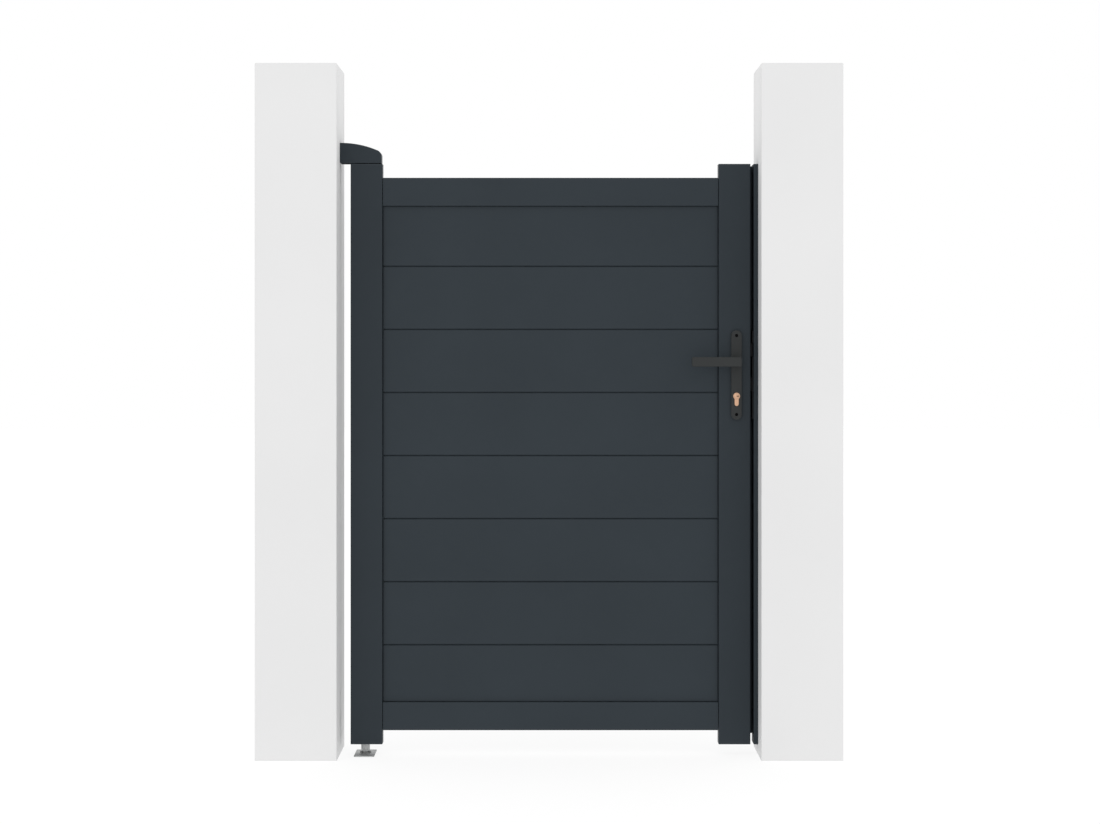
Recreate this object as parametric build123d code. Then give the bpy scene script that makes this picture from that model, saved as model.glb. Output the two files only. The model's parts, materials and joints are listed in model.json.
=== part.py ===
"""Aluminium pedestrian gate with horizontal boards, hung on a pivot between two rendered pillars.

Frame: origin at the centre of the hinge pillar's base. +X runs to the latch pillar, +Z is up and
-Y is the side that the leaf opens to. All sizes are millimetres.
"""

import os
from math import sqrt

from build123d import *

# Pillars
pillar_width = 200.0
pillar_depth = 200.0
pillar_height = 1700.0
pillar_arris = 3.0

# Leaf and the gaps around it
leaf_width = 988.6
leaf_height = 1434.6
ground_gap = 25.7
hinge_gap = 26.4
latch_gap = 8.0

# Stiles: rectangular tubes with a slot for the board ends
stile_width = 78.5
stile_depth = 40.0
stile_wall = 2.2
stile_edge_radius = 2.5

# Rails: tubes set back from the stile faces, with a slot for the panel's edge
rail_height = 69.5
rail_depth = 32.0
rail_wall = 2.0
rail_edge_radius = 1.2
rail_inset = 34.0
rail_end_gap = 1.2

# Boards: hollow tongued sections
board_count = 8
board_depth = 18.0
board_wall = 1.6
board_joint = 2.2
board_arris = 1.2
tongue_depth = 8.0
tongue_height = 7.0
tongue_clearance = 0.3
board_end_entry = 12.0
panel_entry_bottom = 14.0
panel_entry_top = 8.0
slot_clearance = 0.3
panel_end_groove = 2.0
panel_rail_groove = 1.2
panel_groove_backing = 4.0

# End bushes and caps
cap_flange = 3.0
cap_plug_clearance = 0.2
cap_plug_depth = 12.0
bush_plug_depth = 34.0
pivot_clearance = 0.1

# Pivot axis and pins
pivot_offset = 35.6
pin_diameter = 14.0
pin_entry = 28.0

# Upper bracket
bracket_seam = 2.0
bracket_height = 50.0
bracket_depth = 43.0
bracket_setback = 2.5
bracket_flat = 4.0
bracket_crown_radius = 225.0
bracket_nose_radius = 15.0
bracket_edge_radius = 2.0
bracket_foot_radius = 2.5
cover_wall = 2.5
cover_clearance = 0.3
wall_plate_thickness = 6.0
arm_thickness = 12.0
arm_width = 30.0
arm_lift = 4.0
pin_head_diameter = 20.0
pin_head_height = 5.0

# Ground pivot
base_plate_width = 50.0
base_plate_depth = 88.0
base_plate_thickness = 2.2
base_plate_forward = 5.0
base_plate_corner = 3.0
anchor_spacing = 60.0
anchor_hole_diameter = 9.0
post_across_corners = 21.5
post_shoulder_gap = 0.3
collar_diameter = 27.0
collar_height = 4.0
collar_chamfer = 1.5

# Stop profile with its lip behind the leaf
stop_width = 11.0
stop_wall = 2.0
stop_edge_radius = 2.5
stop_lip_thickness = 4.0
stop_lip_overlap = 20.0
stop_lip_cutback_bottom = 19.6
stop_lip_cutback_top = 2.0
stop_cap_thickness = 2.0
seal_clearance = 5.0
seal_thickness = 3.0
seal_width = 12.0

# Lock
backset = 35.0
lever_axis_height = 971.5
cylinder_drop = 85.0
faceplate_width = 22.0
faceplate_height = 236.0
faceplate_thickness = 3.0
faceplate_drop = 33.0
faceplate_corner = 3.0
faceplate_clearance = 0.2
latch_rise = 29.0
latch_height = 31.0
latch_thickness = 12.0
latch_length = 30.0
latch_throw = 6.5
latch_bevel = 4.0
bolt_drop = 56.0
bolt_height = 34.0
bolt_length = 25.0
bolt_proud = 4.0
lock_clearance = 0.3

# Strike plate
strike_thickness = 3.0
strike_width = 28.0
strike_height = 220.0
strike_drop = 33.5
strike_corner = 2.0
strike_clearance = 3.0

# Handle plates
handle_plate_width = 26.0
handle_plate_thickness = 8.0
handle_plate_edge = 1.0
handle_screw_spacing = 195.0
handle_screw_rise = 64.5
handle_screw_diameter = 8.0

# Levers
lever_length = 113.0
lever_heel = 10.0
lever_height = 24.0
lever_thickness = 12.0
lever_corner = 5.0
lever_edge = 2.5
lever_gap = 30.0
neck_diameter = 18.0
neck_entry = 6.0
neck_clearance = 0.3
spindle_size = 8.0
spindle_clearance = 1.3

# Profile cylinder
cylinder_head_diameter = 17.0
cylinder_stem_width = 10.0
cylinder_height = 33.0
cylinder_proud = 2.0
cylinder_clearance = 0.3
keyway_width = 6.0
keyway_height = 1.8
keyway_offset = 3.0
keyway_depth = 8.0

# Places that follow from the sizes above
hinge_face_x = pillar_width / 2
leaf_left = hinge_face_x + hinge_gap
leaf_right = leaf_left + leaf_width
stop_face_x = leaf_right + latch_gap
latch_face_x = stop_face_x + stop_width
latch_pillar_x = latch_face_x + pillar_width / 2
leaf_bottom = ground_gap
leaf_top = leaf_bottom + leaf_height
pivot_x = leaf_left + pivot_offset
panel_left = leaf_left + stile_width
panel_right = leaf_right - stile_width
rail_bottom_top = leaf_bottom + rail_inset + rail_height
rail_top_bottom = leaf_top - rail_inset - rail_height
panel_bottom = rail_bottom_top - panel_entry_bottom
panel_top = rail_top_bottom + panel_entry_top
board_pitch = (panel_top - panel_bottom) / board_count
leaf_front = -stile_depth / 2
leaf_back = stile_depth / 2
handle_x = leaf_right - backset
handle_front = leaf_front - handle_plate_thickness
cylinder_z = lever_axis_height - cylinder_drop
latch_z = lever_axis_height + latch_rise
bolt_z = lever_axis_height - bolt_drop
bracket_bottom = leaf_top + bracket_seam
bracket_length = hinge_gap + stile_width - bracket_setback
seal_front = leaf_back + seal_clearance
lip_front = seal_front + seal_thickness
stop_back = lip_front + stop_lip_thickness


def block(x0, x1, y0, y1, z0, z1):
    """Box between two opposite corners."""
    centre = Pos((x0 + x1) / 2, (y0 + y1) / 2, (z0 + z1) / 2)
    return centre * Box(x1 - x0, y1 - y0, z1 - z0)


def upright_rod(x, y, z0, z1, diameter):
    """Round bar along Z."""
    return Pos(x, y, (z0 + z1) / 2) * Cylinder(diameter / 2, z1 - z0)


def cross_rod(x, z, y0, y1, diameter):
    """Round bar along Y."""
    return Pos(x, (y0 + y1) / 2, z) * Rot(90, 0, 0) * Cylinder(diameter / 2, y1 - y0)


def front_extrusion(sketch, x, z, y0, y1):
    """Outline drawn as seen from the front, with its own zero at (x, z), drawn out from y0 to y1."""
    plane = Plane(origin=(x, y0, z), x_dir=(1, 0, 0), z_dir=(0, -1, 0))
    return extrude(plane * sketch, amount=y1 - y0, dir=(0, 1, 0))


def rounded_upright(x0, x1, y0, y1, z0, z1, radius):
    """Box with its vertical edges rounded."""
    body = block(x0, x1, y0, y1, z0, z1)
    return fillet(body.edges().filter_by(Axis.Z), radius)


def make_pillar(centre_x):
    half_x = pillar_width / 2
    half_y = pillar_depth / 2
    body = block(centre_x - half_x, centre_x + half_x, -half_y, half_y, 0, pillar_height)
    corners = body.edges().filter_by(Axis.Z)
    rim = body.faces().sort_by(Axis.Z)[-1].edges()
    return fillet(corners + rim, pillar_arris)


def bracket_outline(length, height, crown_radius, nose_radius):
    """Side outline of the bracket: flat at the wall, a long crown, a rounded nose."""
    fall = crown_radius - sqrt(crown_radius**2 - (length - bracket_flat) ** 2)
    shoulder = (bracket_flat, height)
    nose = (length, height - fall)
    sides = Polyline(nose, (length, 0), (0, 0), (0, height), shoulder)
    crown = RadiusArc(shoulder, nose, crown_radius)
    face = make_face([sides, crown])
    tip = face.vertices().group_by(Axis.X)[-1].sort_by(Axis.Y)[-1]
    face = fillet(tip, nose_radius)
    foot = face.vertices().group_by(Axis.X)[0].sort_by(Axis.Y)[0]
    return fillet(foot, bracket_foot_radius)


def make_bracket_cover():
    half = bracket_depth / 2
    outline = bracket_outline(bracket_length, bracket_height, bracket_crown_radius, bracket_nose_radius)
    body = front_extrusion(outline, hinge_face_x, bracket_bottom, -half, half)
    rims = body.faces().filter_by(Axis.Y).edges()
    seated = rims.filter_by(lambda e: e.center().Z < bracket_bottom + cover_wall)
    at_wall = rims.filter_by(lambda e: e.center().X < hinge_face_x + cover_wall)
    body = fillet([e for e in rims if e not in seated and e not in at_wall], bracket_edge_radius)
    hollow = bracket_outline(
        bracket_length - cover_wall,
        bracket_height - cover_wall,
        bracket_crown_radius - cover_wall,
        bracket_nose_radius - cover_wall,
    )
    return body - front_extrusion(hollow, hinge_face_x, bracket_bottom, -half + cover_wall, half - cover_wall)


def make_bracket_body():
    """Wall plate with the arm that carries the upper pin."""
    half = bracket_depth / 2 - cover_wall - cover_clearance
    plate_top = bracket_bottom + bracket_height - cover_wall - cover_clearance
    plate_x = hinge_face_x + wall_plate_thickness
    arm_bottom = bracket_bottom + arm_lift
    plate = block(hinge_face_x, plate_x, -half, half, arm_bottom, plate_top)
    arm = block(
        plate_x, pivot_x, -arm_width / 2, arm_width / 2, arm_bottom, arm_bottom + arm_thickness
    )
    end = upright_rod(pivot_x, 0, arm_bottom, arm_bottom + arm_thickness, arm_width)
    hole = upright_rod(
        pivot_x, 0, arm_bottom, arm_bottom + arm_thickness, pin_diameter + 2 * pivot_clearance
    )
    return plate + arm + end - hole


def make_upper_pin():
    arm_top = bracket_bottom + arm_lift + arm_thickness
    shank = upright_rod(pivot_x, 0, leaf_top - pin_entry, arm_top, pin_diameter)
    head = upright_rod(pivot_x, 0, arm_top, arm_top + pin_head_height, pin_head_diameter)
    return shank + head


def make_base_plate():
    half_x = base_plate_width / 2
    y0 = -base_plate_depth / 2 - base_plate_forward
    y1 = base_plate_depth / 2 - base_plate_forward
    plate = rounded_upright(
        pivot_x - half_x, pivot_x + half_x, y0, y1, 0, base_plate_thickness, base_plate_corner
    )
    for side in (-1, 1):
        y = side * anchor_spacing / 2 - base_plate_forward
        plate -= upright_rod(pivot_x, y, 0, base_plate_thickness, anchor_hole_diameter)
    return plate


def make_pivot_post():
    """Hexagon bar with a round pin on top. Two of its flats face the front and the back."""
    shoulder = leaf_bottom - post_shoulder_gap
    hexagon = RegularPolygon(post_across_corners / 2, 6)
    bar = extrude(Pos(pivot_x, 0, base_plate_thickness) * hexagon, amount=shoulder - base_plate_thickness)
    return bar + upright_rod(pivot_x, 0, shoulder, leaf_bottom + pin_entry, pin_diameter)


def make_post_collar():
    """Ring round the post's foot."""
    top = base_plate_thickness + collar_height
    ring = upright_rod(pivot_x, 0, base_plate_thickness, top, collar_diameter)
    ring = chamfer(ring.faces().sort_by(Axis.Z)[-1].edges(), collar_chamfer)
    bore = post_across_corners + 2 * pivot_clearance
    return ring - upright_rod(pivot_x, 0, base_plate_thickness, top, bore)


def make_stile(left, right):
    """Rounded tube between its end flanges, open at both ends."""
    z0 = leaf_bottom + cap_flange
    z1 = leaf_top - cap_flange
    tube = rounded_upright(left, right, leaf_front, leaf_back, z0, z1, stile_edge_radius)
    return tube - block(
        left + stile_wall,
        right - stile_wall,
        leaf_front + stile_wall,
        leaf_back - stile_wall,
        z0,
        z1,
    )


def board_slot(x0, x1):
    """Slot that the board ends pass through."""
    half = board_depth / 2 + slot_clearance
    return block(x0, x1, -half, half, panel_bottom - slot_clearance, panel_top + slot_clearance)


def make_hinge_stile():
    return make_stile(leaf_left, panel_left) - board_slot(panel_left - stile_wall, panel_left)


def make_latch_stile():
    stile = make_stile(panel_right, leaf_right)
    stile -= board_slot(panel_right, panel_right + stile_wall)
    stile -= lock_cut(leaf_right - stile_wall, leaf_right, faceplate_clearance)
    spindle_hole = spindle_size * sqrt(2) + 2 * spindle_clearance
    stile -= cross_rod(handle_x, lever_axis_height, leaf_front, leaf_back, spindle_hole)
    return stile - cylinder_solid(leaf_front, leaf_back, cylinder_clearance)


def make_end_piece(left, right, flange_z, plug_z, plug_depth):
    """Flange that closes a stile's end, with the plug that sits in the tube."""
    inset = stile_wall + cap_plug_clearance
    flange = rounded_upright(
        left, right, leaf_front, leaf_back, flange_z, flange_z + cap_flange, stile_edge_radius
    )
    plug = block(
        left + inset,
        right - inset,
        leaf_front + inset,
        leaf_back - inset,
        plug_z,
        plug_z + plug_depth,
    )
    return flange + plug


def make_top_end(left, right, plug_depth):
    flange_z = leaf_top - cap_flange
    return make_end_piece(left, right, flange_z, flange_z - plug_depth, plug_depth)


def make_bottom_end(left, right, plug_depth):
    return make_end_piece(left, right, leaf_bottom, leaf_bottom + cap_flange, plug_depth)


def pin_bore(z0, z1):
    return upright_rod(pivot_x, 0, z0, z1, pin_diameter + 2 * pivot_clearance)


def make_top_bush():
    bore = pin_bore(leaf_top - pin_entry - cap_flange, leaf_top)
    return make_top_end(leaf_left, panel_left, bush_plug_depth) - bore


def make_bottom_bush():
    bore = pin_bore(leaf_bottom, leaf_bottom + pin_entry + cap_flange)
    return make_bottom_end(leaf_left, panel_left, bush_plug_depth) - bore


def make_rail(z0, slot_z):
    """Tube between the stiles, with a slot in the wall that faces the panel."""
    half = rail_depth / 2
    x0 = panel_left + rail_end_gap
    x1 = panel_right - rail_end_gap
    tube = block(x0, x1, -half, half, z0, z0 + rail_height)
    tube = fillet(tube.edges().filter_by(Axis.X), rail_edge_radius)
    tube -= block(
        x0,
        x1,
        -half + rail_wall,
        half - rail_wall,
        z0 + rail_wall,
        z0 + rail_height - rail_wall,
    )
    slot = board_depth / 2 + slot_clearance
    return tube - block(x0, x1, -slot, slot, slot_z, slot_z + rail_wall)


def board_face_outline(height):
    """End view of a board, without its tongue: faces with small arrises at the joints."""
    face = Rectangle(board_depth, height)
    return chamfer(face.vertices(), board_arris)


def face_grooves(x0, x1, z0, z1):
    """Cuts from both faces of the panel down to the depth of its tongues."""
    half = board_depth / 2
    half_tongue = tongue_depth / 2
    return block(x0, x1, -half, -half_tongue, z0, z1) + block(x0, x1, half_tongue, half, z0, z1)


def groove_along_rail(board, z0, z1):
    """Board with a backed groove in both faces, next to a rail."""
    half = board_depth / 2 - board_wall
    x0 = panel_left + panel_end_groove
    x1 = panel_right - panel_end_groove
    board += block(x0, x1, -half, half, z0 - panel_groove_backing, z1 + panel_groove_backing)
    return board - face_grooves(x0, x1, z0, z1)


def make_board(index):
    """Hollow board. Its tongue points up and its foot has the groove for the tongue below."""
    z0 = panel_bottom + index * board_pitch
    height = board_pitch - board_joint
    start_x = panel_left - board_end_entry
    groove_depth = tongue_height - board_joint + tongue_clearance
    section = board_face_outline(height)
    section += Pos(0, (height + tongue_height) / 2) * Rectangle(tongue_depth, tongue_height)
    groove = Rectangle(tongue_depth + 2 * tongue_clearance, groove_depth)
    section -= Pos(0, (groove_depth - height) / 2) * groove
    core_bottom = groove_depth + board_wall - height / 2
    core_top = height / 2 - board_wall
    core = Rectangle(board_depth - 2 * board_wall, (core_top - core_bottom - board_wall) / 2)
    for side in (-1, 1):
        shift = side * (core_top - core_bottom + board_wall) / 4
        section -= Pos(0, (core_top + core_bottom) / 2 + shift) * core
    plane = Plane(origin=(start_x, 0, z0 + height / 2), x_dir=(0, 1, 0), z_dir=(1, 0, 0))
    length = panel_right + board_end_entry - start_x
    board = extrude(plane * section, amount=length)
    half_tongue = tongue_depth / 2
    for x in (panel_left, panel_right - panel_end_groove):
        x0 = x - panel_groove_backing
        x1 = x + panel_end_groove + panel_groove_backing
        board += block(x0, x1, -half_tongue, half_tongue, z0 + groove_depth, z0 + height)
        board -= face_grooves(x, x + panel_end_groove, z0, z0 + height)
    if index == 0:
        board = groove_along_rail(board, rail_bottom_top, rail_bottom_top + panel_rail_groove)
    if index == board_count - 1:
        cut_bottom = panel_top - board_joint
        cut_top = panel_top + tongue_height
        board -= block(start_x, start_x + length, -board_depth, board_depth, cut_bottom, cut_top)
        board = groove_along_rail(board, rail_top_bottom - panel_rail_groove, rail_top_bottom)
    return board


def cylinder_outline(grow):
    """Keyhole outline: a round head over a narrow stem with a round foot."""
    head = Circle(cylinder_head_diameter / 2 + grow)
    foot_radius = cylinder_stem_width / 2
    stem_length = cylinder_height - cylinder_head_diameter / 2 - foot_radius
    stem = Pos(0, -stem_length / 2) * Rectangle(cylinder_stem_width + 2 * grow, stem_length)
    foot = Pos(0, -stem_length) * Circle(foot_radius + grow)
    return head + stem + foot


def cylinder_solid(y0, y1, grow):
    return front_extrusion(cylinder_outline(grow), handle_x, cylinder_z, y0, y1)


def make_cylinder():
    front = handle_front - cylinder_proud
    body = cylinder_solid(front, -front, 0)
    x0 = handle_x + keyway_offset - keyway_width / 2
    z0 = cylinder_z - keyway_height / 2
    for y0, y1 in ((front, front + keyway_depth), (-front - keyway_depth, -front)):
        body -= block(x0, x0 + keyway_width, y0, y1, z0, z0 + keyway_height)
    return body


def lock_cut(x0, x1, grow):
    """Block of the faceplate's outline, drawn along X."""
    half = faceplate_width / 2 + grow
    centre_z = lever_axis_height - faceplate_drop
    z0 = centre_z - faceplate_height / 2 - grow
    z1 = centre_z + faceplate_height / 2 + grow
    body = block(x0, x1, -half, half, z0, z1)
    return fillet(body.edges().filter_by(Axis.X), faceplate_corner)


def lock_tongue(x0, x1, centre_z, height, grow):
    """Straight bolt along X."""
    half_y = latch_thickness / 2 + grow
    half_z = height / 2 + grow
    return block(x0, x1, -half_y, half_y, centre_z - half_z, centre_z + half_z)


def make_faceplate():
    x0 = leaf_right - faceplate_thickness
    plate = lock_cut(x0, leaf_right, 0)
    plate -= lock_tongue(x0, leaf_right, latch_z, latch_height, lock_clearance)
    return plate - lock_tongue(x0, leaf_right, bolt_z, bolt_height, lock_clearance)


def make_latch_bolt():
    """Latch with its slope on the side that meets the stop when the leaf closes."""
    tip = leaf_right + latch_throw
    bolt = lock_tongue(tip - latch_length, tip, latch_z, latch_height, 0)
    slope = bolt.edges().filter_by(Axis.Z).group_by(Axis.X)[-1].sort_by(Axis.Y)[-1]
    return chamfer(slope, latch_bevel)


def make_dead_bolt():
    return lock_tongue(leaf_right - bolt_length, leaf_right + bolt_proud, bolt_z, bolt_height, 0)


def make_handle_plate():
    """Narrow plate with round ends, seen on the front. The back one is its mirror image."""
    upper = lever_axis_height + handle_screw_rise
    lower = upper - handle_screw_spacing
    outline = SlotOverall(handle_screw_spacing + handle_plate_width, handle_plate_width, rotation=90)
    plate = front_extrusion(outline, handle_x, (upper + lower) / 2, handle_front, leaf_front)
    plate = fillet(plate.faces().sort_by(Axis.Y)[0].edges(), handle_plate_edge)
    for z in (upper, lower):
        plate -= cross_rod(handle_x, z, handle_front, leaf_front, handle_screw_diameter)
    bore = neck_diameter + 2 * neck_clearance
    plate -= cross_rod(handle_x, lever_axis_height, handle_front, leaf_front, bore)
    return plate - cylinder_solid(handle_front, leaf_front, cylinder_clearance)


def make_lever():
    """Flat bar on a round neck, seen on the front."""
    bar_back = handle_front - lever_gap
    bar = block(
        handle_x - lever_length,
        handle_x + lever_heel,
        bar_back - lever_thickness,
        bar_back,
        lever_axis_height - lever_height / 2,
        lever_axis_height + lever_height / 2,
    )
    bar = fillet(bar.edges().filter_by(Axis.Y), lever_corner)
    bar = fillet(bar.faces().filter_by(Axis.Y).edges(), lever_edge)
    neck = cross_rod(handle_x, lever_axis_height, bar_back, handle_front + neck_entry, neck_diameter)
    return bar + neck


def make_spindle():
    half = -(handle_front + neck_entry)
    side = spindle_size / 2
    return block(
        handle_x - side, handle_x + side, -half, half, lever_axis_height - side, lever_axis_height + side
    )


def stop_web(z0, z1):
    """Web of the stop, with the front edge that faces the leaf rounded."""
    web = block(stop_face_x, latch_face_x, leaf_front, stop_back, z0, z1)
    edge = web.edges().filter_by(Axis.Z).group_by(Axis.X)[0].sort_by(Axis.Y)[0]
    return fillet(edge, stop_edge_radius)


def make_stop_profile():
    """Hollow web on the pillar, with a lip that reaches behind the leaf."""
    z0 = leaf_bottom + stop_cap_thickness
    z1 = leaf_top - stop_cap_thickness
    web = stop_web(z0, z1) - block(
        stop_face_x + stop_wall,
        latch_face_x - stop_wall,
        leaf_front + stop_wall,
        stop_back - stop_wall,
        z0,
        z1,
    )
    return web + block(
        leaf_right - stop_lip_overlap,
        stop_face_x,
        lip_front,
        stop_back,
        leaf_bottom + stop_lip_cutback_bottom,
        leaf_top - stop_lip_cutback_top,
    )


def make_seal():
    """Rubber strip on the lip, with its front edges rounded."""
    x0 = leaf_right - stop_lip_overlap
    strip = block(
        x0,
        x0 + seal_width,
        seal_front,
        lip_front,
        leaf_bottom + stop_lip_cutback_bottom,
        leaf_top - stop_lip_cutback_top,
    )
    front = strip.faces().sort_by(Axis.Y)[0].edges().filter_by(Axis.Z)
    return fillet(front, seal_thickness / 2)


def make_strike_plate():
    """Plate on the stop. The latch's notch is open to the side that the leaf opens to."""
    centre_z = lever_axis_height - strike_drop
    half_y = strike_width / 2
    x0 = stop_face_x - strike_thickness
    plate = block(
        x0, stop_face_x, -half_y, half_y, centre_z - strike_height / 2, centre_z + strike_height / 2
    )
    plate = fillet(plate.edges().filter_by(Axis.X), strike_corner)
    reach = latch_thickness / 2 + strike_clearance
    half_latch = latch_height / 2 + strike_clearance
    half_bolt = bolt_height / 2 + strike_clearance
    plate -= block(x0, stop_face_x, -half_y, reach, latch_z - half_latch, latch_z + half_latch)
    return plate - block(x0, stop_face_x, -reach, reach, bolt_z - half_bolt, bolt_z + half_bolt)


def make_gate():
    """Every sub-part by its name."""
    parts = {
        "hinge_pillar": make_pillar(0),
        "latch_pillar": make_pillar(latch_pillar_x),
        "upper_bracket_body": make_bracket_body(),
        "upper_bracket_cover": make_bracket_cover(),
        "upper_pivot_pin": make_upper_pin(),
        "ground_pivot_plate": make_base_plate(),
        "ground_pivot_post": make_pivot_post(),
        "ground_pivot_collar": make_post_collar(),
        "stop_profile": make_stop_profile(),
        "stop_cap_bottom": stop_web(leaf_bottom, leaf_bottom + stop_cap_thickness),
        "stop_cap_top": stop_web(leaf_top - stop_cap_thickness, leaf_top),
        "stop_seal": make_seal(),
        "strike_plate": make_strike_plate(),
        "hinge_stile": make_hinge_stile(),
        "latch_stile": make_latch_stile(),
        "hinge_stile_top_bush": make_top_bush(),
        "hinge_stile_bottom_bush": make_bottom_bush(),
        "latch_stile_top_cap": make_top_end(panel_right, leaf_right, cap_plug_depth),
        "latch_stile_bottom_cap": make_bottom_end(panel_right, leaf_right, cap_plug_depth),
        "top_rail": make_rail(rail_top_bottom, rail_top_bottom),
        "bottom_rail": make_rail(rail_bottom_top - rail_height, rail_bottom_top - rail_wall),
        "lock_faceplate": make_faceplate(),
        "lock_cylinder": make_cylinder(),
        "dead_bolt": make_dead_bolt(),
        "latch_bolt": make_latch_bolt(),
        "handle_plate_front": make_handle_plate(),
        "handle_plate_back": mirror(make_handle_plate(), about=Plane.XZ),
        "lever_front": make_lever(),
        "lever_back": mirror(make_lever(), about=Plane.XZ),
        "handle_spindle": make_spindle(),
    }
    for index in range(board_count):
        parts[f"board_{index + 1}"] = make_board(index)
    return parts


os.makedirs("parts", exist_ok=True)
for name, shape in make_gate().items():
    export_step(shape, f"parts/{name}.step")
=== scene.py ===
"""Looks of an aluminium pedestrian gate: finishes for its nodes, small fixings and a plain studio."""

import json
import math
from typing import NamedTuple

import bmesh
import bpy
from mathutils import Matrix, Vector


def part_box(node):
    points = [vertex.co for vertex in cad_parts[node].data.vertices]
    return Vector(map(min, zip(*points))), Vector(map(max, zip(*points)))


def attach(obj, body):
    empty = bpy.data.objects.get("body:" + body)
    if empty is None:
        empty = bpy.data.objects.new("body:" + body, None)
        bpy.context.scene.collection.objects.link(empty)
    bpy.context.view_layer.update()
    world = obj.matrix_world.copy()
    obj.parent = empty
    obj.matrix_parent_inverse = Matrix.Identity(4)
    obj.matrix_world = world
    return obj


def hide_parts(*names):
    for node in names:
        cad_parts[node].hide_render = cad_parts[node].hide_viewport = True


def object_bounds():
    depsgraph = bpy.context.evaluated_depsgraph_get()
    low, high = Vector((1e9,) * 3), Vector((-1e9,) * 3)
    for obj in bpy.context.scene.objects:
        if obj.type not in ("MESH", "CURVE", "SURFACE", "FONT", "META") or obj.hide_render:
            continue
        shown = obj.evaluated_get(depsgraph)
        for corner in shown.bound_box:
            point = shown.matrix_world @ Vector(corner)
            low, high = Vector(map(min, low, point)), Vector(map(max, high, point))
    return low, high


bl_info = {
    "name": "Pedestrian gate",
    "version": (1, 0, 0),
    "blender": (4, 5, 0),
    "location": "View3D > Sidebar > Gate",
    "description": "Finishes, small fixings and a plain studio for an aluminium pedestrian gate",
    "category": "Object",
}

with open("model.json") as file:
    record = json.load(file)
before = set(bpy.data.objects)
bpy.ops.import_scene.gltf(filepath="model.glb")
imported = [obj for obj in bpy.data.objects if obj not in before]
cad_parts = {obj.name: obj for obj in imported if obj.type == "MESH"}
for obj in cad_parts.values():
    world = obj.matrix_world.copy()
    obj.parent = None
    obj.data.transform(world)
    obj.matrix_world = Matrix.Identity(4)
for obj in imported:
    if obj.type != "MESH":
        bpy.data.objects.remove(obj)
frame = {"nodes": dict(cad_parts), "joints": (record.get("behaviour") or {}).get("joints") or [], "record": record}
cad_low, cad_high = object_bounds()
cad_middle = (cad_low + cad_high) / 2

MM = 0.001
SMOOTH_ANGLE = math.radians(32)
WELD_DISTANCE = 1e-7
SENSOR_WIDTH = 36.0
FLOOR_REACH = 20.0

# Pattern values that a finish's range of colours or numbers is spread over
PATTERN_RANGE = (0.3, 0.7)

# Noise scale of the grain in a powder coat
COAT_GRAIN = 1300.0
HANDLE_GRAIN = 2200.0

# Steps round an arc or a circle
HEAD_STEPS = 32
CYLINDER_STEPS = 44
STEM_STEPS = 16
RIB_STEPS = 10
RING_STEPS = 48

# Eased edges
CYLINDER_EDGE = 0.4 * MM
PLUG_EDGE = 0.15 * MM
RING_EDGE = 0.5 * MM

# How far pieces lie in, below or from the edge of others
CAM_OVERLAP = 0.2 * MM
ANCHOR_SINK = 0.3 * MM
ANCHOR_CLEARANCE = 0.1 * MM
FLOOR_DROP = 0.5 * MM
STOP_SCREW_INSET = 80 * MM

# Socket and rim of a screw head, as shares of its radius or height
SOCKET_SHARE = 0.5
SOCKET_DEPTH_SHARE = 0.7
HEAD_EDGE_SHARE = 0.25

# Depth of the keyway in lengths of the plug, and inset of the lock screws in radii of their heads
KEYWAY_SHARE = 0.9
LOCK_SCREW_INSET = 2.6

PILLARS = ("hinge_pillar", "latch_pillar")
BOARDS = tuple(sorted(name for name in frame["nodes"] if name.startswith("board_")))
PANEL = BOARDS + ("top_rail", "bottom_rail")
STILES = ("hinge_stile", "latch_stile", "upper_bracket_cover", "stop_profile")
END_PIECES = (
    "hinge_stile_top_bush",
    "hinge_stile_bottom_bush",
    "latch_stile_top_cap",
    "latch_stile_bottom_cap",
    "stop_cap_top",
    "stop_cap_bottom",
)
GALVANISED = ("upper_bracket_body", "ground_pivot_plate", "ground_pivot_post")
LOCK_STEEL_AND_SHADED_PIN = (
    "strike_plate",
    "lock_faceplate",
    "dead_bolt",
    "latch_bolt",
    "handle_spindle",
    # the upper pivot pin takes the dark lock steel as painted shade where it shows in the seam at the upper pivot
    "upper_pivot_pin",
)
HANDLES = ("handle_plate_front", "handle_plate_back", "lever_front", "lever_back")
HANDLE_SIDES = (("handle_plate_front", -1), ("handle_plate_back", 1))


def node_middle(name):
    """Middle of a node's box at rest."""
    low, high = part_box(name)
    return (low + high) / 2


def plate_face(name, side):
    """Place along Y of a handle plate's outer face."""
    low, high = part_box(name)
    return low.y if side < 0 else high.y


def joint_point(name):
    """Point on a joint's axis at rest."""
    joint = next(j for j in frame["joints"] if j["name"] == name)
    return Vector(joint["pos_m"])


def mount(name):
    """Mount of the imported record, with its place and sizes."""
    return next(m for m in frame["record"]["mounts"] if m["name"] == name)


ANCHOR_HOLES = mount("pivot_anchor_holes")


# Settings


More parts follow.
